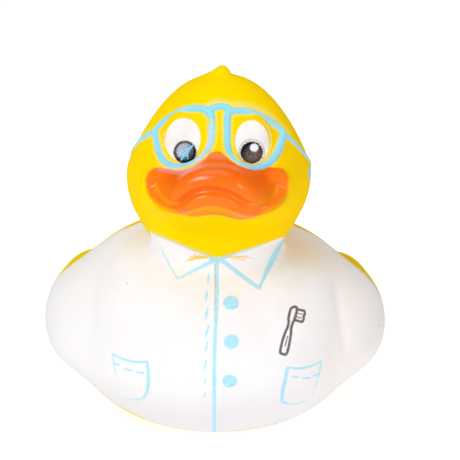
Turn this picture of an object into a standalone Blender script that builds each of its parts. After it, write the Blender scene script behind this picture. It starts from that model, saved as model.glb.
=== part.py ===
"""Rubber duck in a white coat: a one-piece hollow moulded body and the squeaker
pressed into the hole in its base.  Metres, +Z up, the duck faces -Y."""

import bpy
import bmesh
import numpy as np
from math import cos, radians, sin, sqrt

MM = 0.001

# ---- overall placing, mm: the forms below are in the duck's own frame
ORIGIN = (0.0, 3.0, 0.0)           # taken off every point: box centred, base at z = 0

# ---- forms, mm: centre, radii towards minus, radii towards plus,
#      power round the z axis, powers below and above the middle
BODY = ((0.0, 4.0, 24.5), (35.8, 38.0, 26.0), (35.8, 40.0, 27.0), 2.0, (2.6, 2.4))
BODY_TIP = -0.012                 # mm up for each mm sideways: one shoulder is lower
THROAT = ((1.0, -9.5, 53.0), (17.0, 17.5, 11.0), (17.0, 17.5, 11.0), 2.0, (2.0, 2.0))
HEAD = ((1.01, -8.0, 63.65), (22.2, 22.0, 20.43), (22.2, 22.0, 23.84), 2.0, ((2.0, 2.12, 0.0), (2.295, 1.0, 0.107)))
HEAD_LEAN = 0.017                 # mm sideways for each mm up
WING = ((27.2, 2.0, 25.1), (14.7, 20.0, 15.6), (14.7, 20.0, 15.8), 2.0, (2.3, 2.3))
WING_TIP = ((29.8, 14.0, 27.5), (9.3, 21.0, 11.0), (9.3, 21.0, 11.0), 2.0, (2.0, 2.0))
WING_TIP_RISE = 9.0               # degrees
TAIL = ((0.0, 33.0, 33.0), (15.0, 17.0, 7.5), (15.0, 17.0, 7.5), 2.0, (2.0, 2.0))
TAIL_RISE = 36.0                  # degrees
CREST = ((1.7, -8.0, 86.9), (1.9, 2.8, 3.5), (1.9, 2.8, 3.5), 2.0, (2.0, 2.0))
CREST_BACK = ((0.4, -8.0, 85.0), (2.6, 3.2, 3.4), (2.0, 3.2, 3.4), 2.0, (2.0, 2.0))
CHEEKS = ((0.7, -18.0, 63.5), (18.6, 14.0, 9.0), (18.6, 14.0, 9.0), 2.4, (2.4, 2.4))
BEAK = ((0.7, -27.0, 66.5), (13.0, 14.0, 7.0), (13.0, 14.0, 6.4), 2.4, (2.4, 2.2))
BEAK_DROOP = 0.03                 # mm down for each mm sideways squared

WALL = 2.0                        # wall of the moulding
SKIN_CELL = 1.15                  # cell of the outer skin
CAVITY_CELL = 2.4                 # cell of the inside
BASE_BLOCK = 12.0                 # block below z = 0 that makes the flat base

# ---- face lines, as they are seen from the front and a little above.  Points are in
#      units of 0.245 mm, right and down from the corner of a square 460 units wide.
UNIT = 0.245
SIGHT_RISE = 13.0                 # degrees above level
SIGHT_REACH = 700.0               # mm
SIGHT_MID = (3.7, 47.4)           # x, z that the middle of the square looks at, mm
LENS_LEFT = ((154.8, 132), (172, 116), (192, 108.6), (208, 111), (211.9, 124), (211.2, 140.5),
             (200, 158.2), (180, 166.4), (164, 161), (156.8, 142.4))
LENS_RIGHT = ((228.4, 112), (244.5, 111.2), (268, 120), (282.6, 133.5), (278.8, 149),
              (265.5, 165), (246, 166.8), (231.8, 157), (227.2, 138), (227.2, 122))
BRIDGE = ((209, 112.5), (219.9, 106.6), (229.5, 111.5))
TEMPLES = (((155.5, 132), (146, 136.2), (134, 145)), ((282, 133), (292, 141), (302.5, 151.3)))
RIM_R = 0.75
TEMPLE_R = 0.6
RIM_SIDES = 6
UPPER_LIP = ((174, 199), (186, 189), (199, 182.3), (216, 181), (232, 185.5), (246, 196), (252, 200))
LOWER_LIP = ((168, 208), (184, 206), (200, 200.5), (210, 199.3), (224, 201), (240, 208.5), (260, 211))
LIP_R = 2.1
MOUTH = ((155.5, 185), (164, 198.5), (177, 203), (193, 193.3), (210, 189.8), (229, 193.3), (246, 203), (262, 203), (276, 187))
MOUTH_R = 0.9

# ---- squeaker, mm
HOLE_R = 5.5
FIT_GAP = 0.3
PLUG_R = HOLE_R - FIT_GAP
FLANGE_R = 7.4
PLUG_FOOT = 0.4                   # foot stays clear of the table
FLANGE_Z = WALL + 1.2
FLANGE_T = 1.0
PLUG_TOP = 9.0
BORE_R = 1.1
CHAMBER_R = 3.9
CHAMBER_Z = 2.6
HOLE_SIDES = 48

YELLOW = (0.98, 0.72, 0.01, 1.0)
WHITE = (0.9, 0.9, 0.88, 1.0)


def clear_scene():
    for ob in list(bpy.data.objects):
        bpy.data.objects.remove(ob, do_unlink=True)


def material(name, colour, roughness):
    mat = bpy.data.materials.new(name)
    mat.use_nodes = True
    shader = mat.node_tree.nodes["Principled BSDF"]
    shader.inputs["Base Color"].default_value = colour
    shader.inputs["Roughness"].default_value = roughness
    return mat


def placed(bm, name, collection):
    bmesh.ops.translate(bm, verts=bm.verts, vec=tuple(-c for c in ORIGIN))
    bmesh.ops.scale(bm, verts=bm.verts, vec=(MM, MM, MM))
    bmesh.ops.recalc_face_normals(bm, faces=bm.faces)
    mesh = bpy.data.meshes.new(name)
    bm.to_mesh(mesh)
    bm.free()
    ob = bpy.data.objects.new(name, mesh)
    collection.objects.link(ob)
    return ob


def girth(height, power, rise, soft):
    """Share of the full width at a share of the height."""
    t = (sqrt(height * height + soft * soft) - soft) / (sqrt(1.0 + soft * soft) - soft)
    return max(0.0, 1.0 - t ** rise) ** (1.0 / power)


def add_form(bm, form, rise=0.0, mirror=False, droop=0.0, lean=0.0, tip=0.0, shrink=0.0, segments=64, rings=32):
    """A sphere drawn out to the form: its own radius on each side, its own fullness."""
    centre, minus, plus, n, m = form
    made = bmesh.ops.create_uvsphere(bm, u_segments=segments, v_segments=rings, radius=1.0)
    ca, sa = cos(radians(rise)), sin(radians(rise))
    for v in made["verts"]:
        d = v.co.copy()
        r = [(plus[i] if d[i] >= 0 else minus[i]) - shrink for i in range(3)]
        rho = (abs(d.x) ** n + abs(d.y) ** n) ** (1.0 / n)
        power = m[1] if d.z >= 0 else m[0]
        if isinstance(power, tuple):
            wide = girth(min(1.0, abs(d.z)), *power) / max(rho, 1e-6)
            x, y, z = d.x * wide * r[0], d.y * wide * r[1], d.z * r[2]
        else:
            size = (rho ** power + abs(d.z) ** power) ** (1.0 / power)
            x, y, z = (d[i] / size * r[i] for i in range(3))
        y, z = y * ca - z * sa, y * sa + z * ca
        z -= droop * x * x
        x += lean * z
        z += tip * x
        side = -1.0 if mirror else 1.0
        v.co = (side * (x + centre[0]), y + centre[1], z + centre[2])


def front_of(form, x, z, droop=0.0):
    """y of the form's front at x, z, or None beside it."""
    centre, minus, plus, n, m = form
    x -= centre[0]
    z -= centre[2] - droop * x * x
    rx = plus[0] if x >= 0 else minus[0]
    up = z >= 0
    rz, power = (plus[2], m[1]) if up else (minus[2], m[0])
    a, b = abs(x) / rx, abs(z) / rz
    if b >= 1.0:
        return None
    rho = girth(b, *power) if isinstance(power, tuple) else (1.0 - b ** power) ** (1.0 / power)
    if a >= rho:
        return None
    return centre[1] - minus[1] * (rho ** n - a ** n) ** (1.0 / n)


def on_face(point):
    """The point of the face that lies behind a point of the front view."""
    across, up = (point[0] - 230.0) * UNIT, (230.0 - point[1]) * UNIT
    ce, se = cos(radians(SIGHT_RISE)), sin(radians(SIGHT_RISE))
    y = -25.0
    for _ in range(14):
        z = SIGHT_MID[1] + (up - y * se) / ce
        near = 1.0 + (y * ce - (z - SIGHT_MID[1]) * se) / SIGHT_REACH
        x = SIGHT_MID[0] + across * near
        z = SIGHT_MID[1] + (up * near - y * se) / ce
        found = [front_of(HEAD, x, z), front_of(CHEEKS, x, z), front_of(BEAK, x, z, BEAK_DROOP)]
        found = [f for f in found if f is not None]
        y = 0.5 * y + 0.5 * (min(found) if found else HEAD[0][1])
    return np.array((x, y, z))


def smooth_line(points, count, closed=False):
    """A smooth run through the points."""
    p = [np.array(q, float) for q in points]
    p = [p[-1]] + p + [p[0], p[1]] if closed else [2 * p[0] - p[1]] + p + [2 * p[-1] - p[-2]]
    spans = len(p) - 3
    out = []
    for k in range(count):
        u = k * spans / (count if closed else count - 1)
        i = min(int(u), spans - 1)
        f = u - i
        a, b, c, d = p[i:i + 4]
        out.append(0.5 * (2 * b + (c - a) * f + (2 * a - 5 * b + 4 * c - d) * f * f + (3 * b - a - 3 * c + d) * f ** 3))
    return out


def add_bead(bm, points, count, radius, closed=False, inset=0.0):
    """A round bead laid on the face along a line of the front view: rings joined end to end."""
    line = [on_face(q) + np.array((0.0, inset, 0.0)) for q in smooth_line(points, count, closed)]
    rings = []
    for i, mid in enumerate(line):
        ahead = line[(i + 1) % count] if closed or i + 1 < count else mid
        behind = line[i - 1] if closed or i else mid
        run = ahead - behind
        run /= np.linalg.norm(run)
        side = np.cross(run, (0.0, -1.0, 0.0))
        side /= np.linalg.norm(side)
        out = np.cross(side, run)
        thin = 1.0 if closed else max(0.45, min(1.0, 4.0 * min(i, count - 1 - i) / (count - 1) + 0.45))
        rings.append([bm.verts.new(mid + radius * thin * (cos(a) * side + sin(a) * out))
                      for a in (radians(360.0 * k / RIM_SIDES) for k in range(RIM_SIDES))])
    edges = []
    for ring in rings:
        edges.append([bm.edges.new((ring[k], ring[(k + 1) % RIM_SIDES])) for k in range(RIM_SIDES)])
    for i in range(count if closed else count - 1):
        bmesh.ops.bridge_loops(bm, edges=edges[i] + edges[(i + 1) % count])
    if not closed:
        bmesh.ops.contextual_create(bm, geom=edges[0])
        bmesh.ops.contextual_create(bm, geom=edges[-1])


def hide_cutter(ob):
    ob.hide_render = True
    ob.display_type = "WIRE"


def boolean(ob, other, operation):
    mod = ob.modifiers.new(operation.title(), "BOOLEAN")
    mod.operation = operation
    mod.solver = "EXACT"
    mod.object = other


def remesh(ob, cell):
    mod = ob.modifiers.new("Skin", "REMESH")
    mod.mode = "VOXEL"
    mod.voxel_size = cell * MM
    mod.use_smooth_shade = True


def smooth(ob, factor, rounds):
    mod = ob.modifiers.new("Soften", "SMOOTH")
    mod.factor = factor
    mod.iterations = rounds


def decimate(ob, ratio):
    mod = ob.modifiers.new("Lighten", "DECIMATE")
    mod.ratio = ratio


def outer_forms(shrink=0.0):
    bm = bmesh.new()
    add_form(bm, BODY, tip=BODY_TIP, shrink=shrink)
    add_form(bm, HEAD, lean=HEAD_LEAN, shrink=shrink)
    add_form(bm, THROAT, shrink=shrink)
    for mirror in (False, True):
        add_form(bm, WING, mirror=mirror, shrink=shrink)
    return bm


def build_shell(nodes, cutters):
    bm = outer_forms()
    for mirror in (False, True):
        add_form(bm, WING_TIP, rise=WING_TIP_RISE, mirror=mirror)
    add_form(bm, TAIL, rise=TAIL_RISE)
    add_form(bm, CREST, segments=32, rings=16)
    add_form(bm, CREST_BACK, segments=32, rings=16)
    add_form(bm, CHEEKS)
    add_form(bm, BEAK, droop=BEAK_DROOP)
    add_bead(bm, UPPER_LIP, 26, LIP_R, inset=1.0)
    add_bead(bm, LOWER_LIP, 26, LIP_R, inset=1.1)
    shell = placed(bm, "duck_shell", nodes)
    remesh(shell, SKIN_CELL)
    smooth(shell, 0.7, 8)
    decimate(shell, 0.085)

    for name, points, count, radius, closed in (
            ("lens_left", LENS_LEFT, 44, RIM_R, True), ("lens_right", LENS_RIGHT, 44, RIM_R, True), ("bridge", BRIDGE, 8, RIM_R, False),
            ("temple_left", TEMPLES[0], 8, TEMPLE_R, False), ("temple_right", TEMPLES[1], 8, TEMPLE_R, False)):
        bm = bmesh.new()
        add_bead(bm, points, count, radius, closed, inset=0.05)
        bead = placed(bm, name, cutters)
        hide_cutter(bead)
        boolean(shell, bead, "UNION")
    bm = bmesh.new()
    add_bead(bm, MOUTH, 40, MOUTH_R, inset=-0.35)
    mouth = placed(bm, "mouth_cut", cutters)
    hide_cutter(mouth)
    boolean(shell, mouth, "DIFFERENCE")

    ground = bmesh.new()
    bmesh.ops.create_cube(ground, size=1.0)
    bmesh.ops.scale(ground, verts=ground.verts, vec=(120.0, 120.0, BASE_BLOCK))
    bmesh.ops.translate(ground, verts=ground.verts, vec=(0.0, 4.0, -BASE_BLOCK / 2))
    ground = placed(ground, "base_cut", cutters)
    hide_cutter(ground)
    boolean(shell, ground, "DIFFERENCE")

    inside = outer_forms(shrink=WALL)
    inside = placed(inside, "inside_cut", cutters)
    remesh(inside, CAVITY_CELL)
    decimate(inside, 0.5)
    hide_cutter(inside)
    boolean(shell, inside, "DIFFERENCE")

    hole = bmesh.new()
    bmesh.ops.create_cone(hole, cap_ends=True, segments=HOLE_SIDES, radius1=HOLE_R, radius2=HOLE_R, depth=16.0)
    bmesh.ops.translate(hole, verts=hole.verts, vec=(ORIGIN[0], ORIGIN[1], 0.0))
    hole = placed(hole, "squeaker_hole_cut", cutters)
    hide_cutter(hole)
    boolean(shell, hole, "DIFFERENCE")
    shell.data.materials.append(material("rubber", YELLOW, 0.4))
    return shell


def build_squeaker(nodes):
    """A turned plug with a flange inside the base and a bore right through."""
    profile = [
        (BORE_R, PLUG_FOOT), (PLUG_R - 0.3, PLUG_FOOT), (PLUG_R, PLUG_FOOT + 0.3),
        (PLUG_R, FLANGE_Z), (FLANGE_R, FLANGE_Z), (FLANGE_R, FLANGE_Z + FLANGE_T),
        (PLUG_R, FLANGE_Z + FLANGE_T), (PLUG_R, PLUG_TOP - 0.4), (PLUG_R - 0.4, PLUG_TOP),
        (CHAMBER_R, PLUG_TOP), (CHAMBER_R, CHAMBER_Z), (BORE_R, CHAMBER_Z),
    ]
    bm = bmesh.new()
    ring = [bm.verts.new((r, 0.0, z)) for r, z in profile]
    edges = [bm.edges.new((ring[i], ring[(i + 1) % len(ring)])) for i in range(len(ring))]
    bmesh.ops.spin(bm, geom=ring + edges, cent=(0, 0, 0), axis=(0, 0, 1), angle=radians(360),
                   steps=HOLE_SIDES, use_merge=True, use_duplicate=False)
    bmesh.ops.remove_doubles(bm, verts=bm.verts, dist=0.001)
    bmesh.ops.translate(bm, verts=bm.verts, vec=(ORIGIN[0], ORIGIN[1], 0.0))
    plug = placed(bm, "squeaker", nodes)
    plug.data.materials.append(material("hard_plastic", WHITE, 0.35))
    return plug


def main():
    clear_scene()
    nodes = bpy.data.collections.new("rubber_duck")
    cutters = bpy.data.collections.new("cutters")
    for collection in (nodes, cutters):
        bpy.context.scene.collection.children.link(collection)
    build_shell(nodes, cutters)
    build_squeaker(nodes)


main()
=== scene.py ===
import bpy
import numpy as np
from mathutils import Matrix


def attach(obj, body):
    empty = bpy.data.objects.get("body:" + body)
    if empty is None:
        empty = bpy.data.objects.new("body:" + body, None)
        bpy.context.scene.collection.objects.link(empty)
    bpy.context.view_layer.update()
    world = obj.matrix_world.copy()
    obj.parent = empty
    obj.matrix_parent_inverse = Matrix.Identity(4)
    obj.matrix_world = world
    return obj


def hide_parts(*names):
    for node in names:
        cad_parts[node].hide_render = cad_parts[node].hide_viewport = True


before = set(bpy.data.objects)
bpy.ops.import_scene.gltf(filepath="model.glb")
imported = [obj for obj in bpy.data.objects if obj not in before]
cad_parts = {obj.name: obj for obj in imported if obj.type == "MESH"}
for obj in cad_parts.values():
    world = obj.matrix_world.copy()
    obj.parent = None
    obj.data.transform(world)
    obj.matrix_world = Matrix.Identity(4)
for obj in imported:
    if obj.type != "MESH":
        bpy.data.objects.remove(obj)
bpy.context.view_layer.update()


MM = 0.001
ORIGIN = np.array((0.0, 3.0, 0.0))     # the duck's own frame, in mm, to the row frame

# ------------------------------------------------------------------ viewing point
# The picture is 460 px square.  Lines of the face and coat are given as points of it and laid on the form.
SCALE = 0.245                             # mm a px at the target
REACH = 700.0                             # mm from camera to target
ELEVATION = np.radians(13.0)
TARGET = np.array((3.7, 0.0, 47.4))
BACK = np.array((0.0, -np.cos(ELEVATION), np.sin(ELEVATION)))
EYE = TARGET + REACH * BACK
AHEAD = -BACK
RIGHT = np.array((1.0, 0.0, 0.0))
UP = np.cross(RIGHT, AHEAD)
FOCAL = REACH / SCALE


def project(P):
    Q = P - EYE
    d = Q @ AHEAD
    return np.stack((230 + FOCAL * (Q @ RIGHT) / d, 230 - FOCAL * (Q @ UP) / d), axis=1)


def rays(px):
    v = AHEAD + ((px[:, :1] - 230) / FOCAL) * RIGHT + ((230 - px[:, 1:]) / FOCAL) * UP
    return v / np.linalg.norm(v, axis=1, keepdims=True)


# ------------------------------------------------------------------ distance tools, mm
def smin(a, b, k):
    h = np.maximum(k - np.abs(a - b), 0) / k
    return np.minimum(a, b) - h * h * k * 0.25


def smax(a, b, k):
    return -smin(-a, -b, k)


def full_form(P, c, minus, plus, n=2.0, m=(2.0, 2.0)):
    q = P - np.asarray(c, float)
    r = np.where(q < 0, np.asarray(minus, float), np.asarray(plus, float))
    a = np.abs(q) / r
    p = np.where(q[:, 2] < 0, m[0], m[1])
    rho = (a[:, 0] ** n + a[:, 1] ** n + 1e-12) ** (1.0 / n)
    az = a[:, 2] + 1e-9
    N = (rho ** p + az ** p) ** (1.0 / p)
    k = N ** (1 - p)
    g_rho = k * rho ** (p - 1)
    gx = g_rho * rho ** (1 - n) * a[:, 0] ** (n - 1) / r[:, 0]
    gy = g_rho * rho ** (1 - n) * a[:, 1] ** (n - 1) / r[:, 1]
    gz = k * az ** (p - 1) / r[:, 2]
    return (N - 1) / (np.sqrt(gx * gx + gy * gy + gz * gz) + 1e-9)


def ellipsoid(q, r):
    r = np.asarray(r, float)
    k0 = np.linalg.norm(q / r, axis=1)
    k1 = np.linalg.norm(q / (r * r), axis=1) + 1e-9
    return k0 * (k0 - 1) / k1


def turned(P, c, rx=0.0, ry=0.0, rz=0.0):
    q = P - np.asarray(c, float)
    for ang, (i, j) in ((rx, (1, 2)), (ry, (2, 0)), (rz, (0, 1))):
        if ang:
            co, si = np.cos(np.radians(ang)), np.sin(np.radians(ang))
            qi, qj = q[:, i] * co + q[:, j] * si, -q[:, i] * si + q[:, j] * co
            q = q.copy()
            q[:, i], q[:, j] = qi, qj
    return q


def catmull(pts, n):
    pts = np.asarray(pts, float)
    ext = np.vstack([2 * pts[0] - pts[1], pts, 2 * pts[-1] - pts[-2]])
    u = np.linspace(0, len(pts) - 1 - 1e-9, n)
    i = u.astype(int)
    f = (u - i)[:, None]
    p0, p1, p2, p3 = ext[i], ext[i + 1], ext[i + 2], ext[i + 3]
    return 0.5 * (2 * p1 + (p2 - p0) * f + (2 * p0 - 5 * p1 + 4 * p2 - p3) * f ** 2 + (3 * p1 - p0 - 3 * p2 + p3) * f ** 3)


def tube(P, line, r, pad=4.0):
    """Distance to a run of round segments; far points get a large number."""
    r = np.broadcast_to(np.asarray(r, float), (len(line),))
    out = np.full(len(P), 50.0)
    sel = np.all((P > line.min(0) - pad) & (P < line.max(0) + pad), axis=1)
    if sel.any():
        Q = P[sel]
        best = np.full(len(Q), 50.0)
        for a, b, r0, r1 in zip(line[:-1], line[1:], r[:-1], r[1:]):
            ba = b - a
            t = np.clip((Q - a) @ ba / max(ba @ ba, 1e-9), 0, 1)
            np.minimum(best, np.linalg.norm(Q - a - t[:, None] * ba, axis=1) - (r0 + (r1 - r0) * t), out=best)
        out[sel] = best
    return out


def press(P, line, depth, wide, pad=5.0):
    """A soft dent of this depth and half width along a run of points."""
    out = np.zeros(len(P))
    sel = np.all((P > line.min(0) - pad) & (P < line.max(0) + pad), axis=1)
    if sel.any():
        Q = P[sel]
        best = np.zeros(len(Q))
        for a, b, d0, d1 in zip(line[:-1], line[1:], depth[:-1], depth[1:]):
            ba = b - a
            t = np.clip((Q - a) @ ba / max(ba @ ba, 1e-9), 0, 1)
            off = np.linalg.norm(Q - a - t[:, None] * ba, axis=1)
            np.maximum(best, (d0 + (d1 - d0) * t) * np.exp(-(off / wide) ** 2), out=best)
        out[sel] = best
    return out


def tapered(n, r, ends=0.25, low=0.3):
    u = np.linspace(0, 1, n)
    k = np.clip(np.minimum(u, 1 - u) / ends, 0, 1)
    return r * (low + (1 - low) * np.sin(k * np.pi / 2))


# ------------------------------------------------------------------ the duck's forms, mm
HEAD_X = 0.7


def torso(P):
    q = P.copy()
    q[:, 2] += 0.012 * q[:, 0]
    return full_form(q, (0, 4, 24.5), (36.8, 38, 27.2), (36.8, 40, 25.9), 2.0, (2.17, 2.15))


def egg(P):
    """The head: round below its widest level, drawn up to a blunt peak above."""
    q = P - np.array((1.01, -8.0, 63.65))
    z = q[:, 2]
    up = z >= 0
    tall, soft, rise = np.where(up, 23.84, 20.43), np.where(up, 0.107, 0.0), np.where(up, 1.0, 2.12)
    power = np.where(up, 2.295, 2.0)
    a, b, u = (q[:, 0] - 0.017 * z) / 22.2, q[:, 1] / 22.0, np.abs(z) / tall
    span = np.sqrt(1 + soft * soft) - soft
    t = (np.sqrt(u * u + soft * soft) - soft) / span
    rho = np.sqrt(a * a + b * b) + 1e-9
    g = power * rho ** (power - 2)
    gz = rise * (t + 1e-9) ** (rise - 1) / span * u / np.sqrt(u * u + soft * soft + 1e-12) / tall
    return (rho ** power + t ** rise - 1) / (np.sqrt((g * a / 22.2) ** 2 + (g * b / 22.0) ** 2 + gz * gz) + 1e-9)


def skull(P):
    return smin(egg(P), ellipsoid(P - np.array((1.0, -9.5, 53.0)), (17.0, 17.5, 11.0)), 3.0)


def wing_lobe(P):
    q = P.copy()
    q[:, 2] += 0.012 * q[:, 0]
    q[:, 0] = np.abs(q[:, 0])
    return full_form(q, (27.1, 2, 23.85), (14.7, 20, 13.6), (14.7, 20, 15.3), 2.0, (2.05, 2.0))


def wing(P):
    q = P.copy()
    q[:, 2] += 0.012 * q[:, 0]
    q[:, 0] = np.abs(q[:, 0])
    tip = ellipsoid(turned(q, (29.8, 14.0, 26.85), rx=9), (10.2, 21, 9.6))
    return smin(wing_lobe(P), tip, 6.0)


def tail(P):
    return ellipsoid(turned(P, (0, 33, 33), rx=36), (15.0, 17.0, 7.5))


def crest(P):
    return ellipsoid(turned(P, (1.68, -8.0, 86.96), ry=13.6), (1.64, 2.6, 2.54))


def bill(P):
    c = full_form(P, (HEAD_X, -18.0, 63.5), (18.6, 14.0, 9.0), (18.6, 14.0, 9.0), 2.4, (2.4, 2.4))
    q = P - np.array((HEAD_X, -27.0, 66.5))
    q[:, 2] += 0.03 * q[:, 0] ** 2
    b = full_form(q, (0, 0, 0), (14.0, 14.0, 7.0), (14.0, 14.0, 6.4), 2.4, (2.4, 2.2))
    return smin(c, b, 4.0)


def rough_form(P):
    d = smin(torso(P), wing(P), 3.0)
    d = smin(d, tail(P), 9.0)
    slope = ellipsoid(turned(P, (-0.39, -8.0, 85.2), ry=35), (1.76, 3.0, 4.5))
    h = smin(smin(skull(P), slope, 2.5), crest(P), 1.3)
    h = smin(h, bill(P), 3.0)
    d = smin(d, h, 2.0)
    return smax(d, -P[:, 2], 0.8)


def lay(points, fn, n, smooth=True):
    """Points of the picture laid on the form along their lines of sight."""
    px = catmull(points, n) if smooth else np.asarray(points, float)
    v = rays(px)
    t = np.full(len(v), 600.0)
    for _ in range(90):
        t += np.clip(fn(EYE + t[:, None] * v), -3, 40) * 0.8
        t = np.minimum(t, 760.0)
    return EYE + t[:, None] * v


def inward(line, k):
    return line + np.array((0.0, k, 0.0))


# ------------------------------------------------------------------ the bill's relief
MOUTH = [(154.5, 183), (158.5, 191), (164, 198.5), (171.5, 203.5), (179, 203), (186, 198), (193, 193.3), (201, 190.7),
         (210, 189.8), (220, 190.7), (229, 193.3), (237, 197.5), (244, 202), (250, 205), (257, 204.5), (266, 201), (273, 194), (276.8, 185)]
LIP_UPPER = [(174, 199), (180, 194), (186, 189), (192, 185), (199, 182.3), (207, 181), (216, 181), (224, 182.2), (232, 185.5), (239, 190), (246, 196), (252, 200)]
LIP_LOWER = [(170, 208.5), (180, 207.5), (190, 203.5), (200, 200.5), (210, 199.3), (220, 200.3), (230, 203.5), (240, 208.5), (250, 212), (262, 211)]
CREASE = [(171, 190), (176, 185.5), (183, 180.6), (190, 177.2), (199, 174.3), (210, 172.6), (222, 173.6), (233, 177.8), (241, 183.6), (248, 190), (255, 196)]
PUFFS = ([(158.5, 176.8), (152.0, 179), (149.2, 186), (151, 194), (156, 201.5), (164, 208)],
         [(273.5, 180.2), (280.5, 180.6), (283.5, 187), (281.5, 195), (276, 203), (267, 209)])

lip_upper, lip_lower = lay(LIP_UPPER, rough_form, 36), lay(LIP_LOWER, rough_form, 36)
mouth, crease = lay(MOUTH, rough_form, 60), lay(CREASE, rough_form, 30)
puffs = [lay(p, rough_form, 26) for p in PUFFS]


# ------------------------------------------------------------------ collar and wing grooves
NECK = [(141, 218), (147.8, 229.5), (156, 234.5), (165, 238.6), (178, 244), (191, 249.4), (202, 253.8), (211.6, 257.2), (218, 258.5), (226, 256.6),
        (235, 253.4), (244.8, 250), (256, 246.6), (268, 242.6), (280, 238), (287.5, 235.6), (291.5, 231), (296, 223)]
WING_GROOVES = ([(94.5, 268), (94.4, 285), (93.6, 301), (91.6, 317), (89, 333), (86.4, 348), (84.4, 362)],
                [(334.6, 268), (337.0, 285), (338.6, 301), (341.0, 317), (343.6, 331), (345.6, 345), (346.4, 360)])
collar = lay([(x, y + 9.5) for x, y in NECK[2:-3]], rough_form, 40)
grooves = [lay(g, rough_form, 16) for g in WING_GROOVES]


def coat_form(P):
    d = rough_form(P)
    sel = (P[:, 1] < 4) & (P[:, 2] > 40) & (P[:, 2] < 58)
    if sel.any():
        d[sel] = smin(d[sel], tube(P[sel], inward(collar, 0.9), tapered(40, 2.3, 0.12, 0.4)), 2.4)
    sel = (np.abs(P[:, 0]) > 24) & (P[:, 1] < 2)
    if sel.any():
        Q, e = P[sel], d[sel]
        for line in grooves:
            e = e + press(Q, line, tapered(16, 0.55, 0.35, 0.05), 1.7)
        d[sel] = e
    return d


def face_form(P):
    d = coat_form(P)
    sel = (P[:, 1] < -18) & (np.abs(P[:, 0]) < 24) & (P[:, 2] > 46) & (P[:, 2] < 80)
    if sel.any():
        Q, e = P[sel], d[sel]
        e = smin(e, tube(Q, inward(lip_upper, 1.1), tapered(36, 2.5)), 3.0)
        e = smin(e, tube(Q, inward(lip_lower, 1.1), tapered(36, 2.1)), 2.0)
        for line in puffs:
            e = smin(e, tube(Q, inward(line, 1.15), tapered(26, 1.8, 0.3, 0.5)), 2.4)
        e = smax(e, -tube(Q, inward(mouth, -0.4), tapered(60, 0.8, 0.12, 0.5)), 1.2)
        e = e + press(Q, crease, tapered(30, 0.3, 0.3, 0.02), 1.6)
        d[sel] = e
    return d


# ------------------------------------------------------------------ glasses and eyes
LENS_LEFT = [(154.8, 132), (162, 123.5), (172, 116), (183, 110.5), (192, 108.6), (201, 108.8), (208, 111), (211.4, 116), (211.9, 124),
             (212.0, 132), (211.2, 140.5), (207.6, 150), (200, 158.2), (190.5, 163.6), (180, 166.4), (171, 165.2), (164, 161), (159.3, 152.7), (156.8, 142.4), (154.8, 132)]
LENS_RIGHT = [(228.4, 112), (236, 111), (244.5, 111.2), (256.5, 114.4), (268, 120), (277, 127), (282.6, 133.5), (281.6, 140.5), (278.8, 149),
              (273.6, 158), (265.5, 165), (255, 168), (246, 166.8), (238.5, 163), (231.8, 157), (228.2, 149), (227.2, 138), (227.2, 126), (227.4, 117), (228.4, 112)]
BRIDGE = [(207.5, 112.5), (212.5, 108.6), (219.9, 106.6), (226.5, 107.6), (230.5, 111.5)]
TEMPLE_LEFT = [(154.5, 132), (148, 135.4), (142.6, 138.8)]
TEMPLE_RIGHT = [(282.6, 133), (289.5, 138.6), (296, 144.8), (300.6, 150.4)]

lens_left, lens_right = lay(LENS_LEFT, face_form, 90), lay(LENS_RIGHT, face_form, 90)
bridge = lay(BRIDGE, face_form, 14)
RIM_L = np.interp(np.linspace(0, 1, 90), [0, 0.3, 0.42, 0.62, 0.72, 0.85, 1], [0.86, 0.8, 0.74, 0.64, 0.58, 0.64, 0.86])
RIM_R = np.interp(np.linspace(0, 1, 90), [0, 0.25, 0.38, 0.52, 0.6, 0.72, 1], [0.78, 0.74, 0.85, 0.68, 0.56, 0.62, 0.8])


def onto(fn, P, rounds=8):
    for _ in range(rounds):
        g = gradient(fn, P)
        P = P - fn(P)[:, None] * g
    return P


def gradient(fn, P, h=0.04):
    k = np.array(((1, -1, -1), (-1, -1, 1), (-1, 1, -1), (1, 1, 1)), float)
    g = sum(c * fn(P + h * c)[:, None] for c in k)
    return g / (np.linalg.norm(g, axis=1, keepdims=True) + 1e-12)


def temple(points, side):
    """The arm: across the face, then back and down over the side of the head."""
    arm = list(lay(points, face_form, 10))
    for k in range(11):
        ahead = np.array((side * max(0.0, 0.75 - 0.15 * k), 0.9, -0.72 + 0.02 * k))
        arm.append(onto(face_form, (arm[-1] + 1.2 * ahead / np.linalg.norm(ahead))[None])[0])
    return np.array(arm)


temple_left, temple_right = temple(TEMPLE_LEFT, -1), temple(TEMPLE_RIGHT, 1)


def glasses(P):
    d = tube(P, lens_left, RIM_L)
    d = np.minimum(d, tube(P, lens_right, RIM_R))
    d = np.minimum(d, tube(P, bridge, 0.78))
    d = np.minimum(d, tube(P, temple_left, np.linspace(0.66, 0.42, len(temple_left))))
    return np.minimum(d, tube(P, temple_right, np.linspace(0.6, 0.36, len(temple_right))))


EYES = (((182.8, 139.6), (17.6, 21.7), 9.0), ((252.0, 142.2), (16.9, 22.0), -4.0))
PUPILS = ((185.0, 151.8), (251.6, 152.0))


eye_mid = [lay([c, c], face_form, 2, smooth=False)[0] for c, _, _ in EYES]


def eye_balls(P):
    d = np.full(len(P), 50.0)
    for mid, (c, r, tilt) in zip(eye_mid, EYES):
        q = turned(P, mid + np.array((0, 4.35, 0)), ry=-tilt)
        d = np.minimum(d, ellipsoid(q, (r[0] * SCALE * 1.06, 5.0, r[1] * SCALE * 1.1)))
    return d


BUTTONS = ((230.9, 302.8, 8.0, 7.1), (231.2, 341.8, 7.6, 7.4), (229.5, 381.0, 7.5, 6.4))
button_mid = [lay([(b[0], b[1])] * 2, rough_form, 2, smooth=False)[0] for b in BUTTONS]


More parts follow.
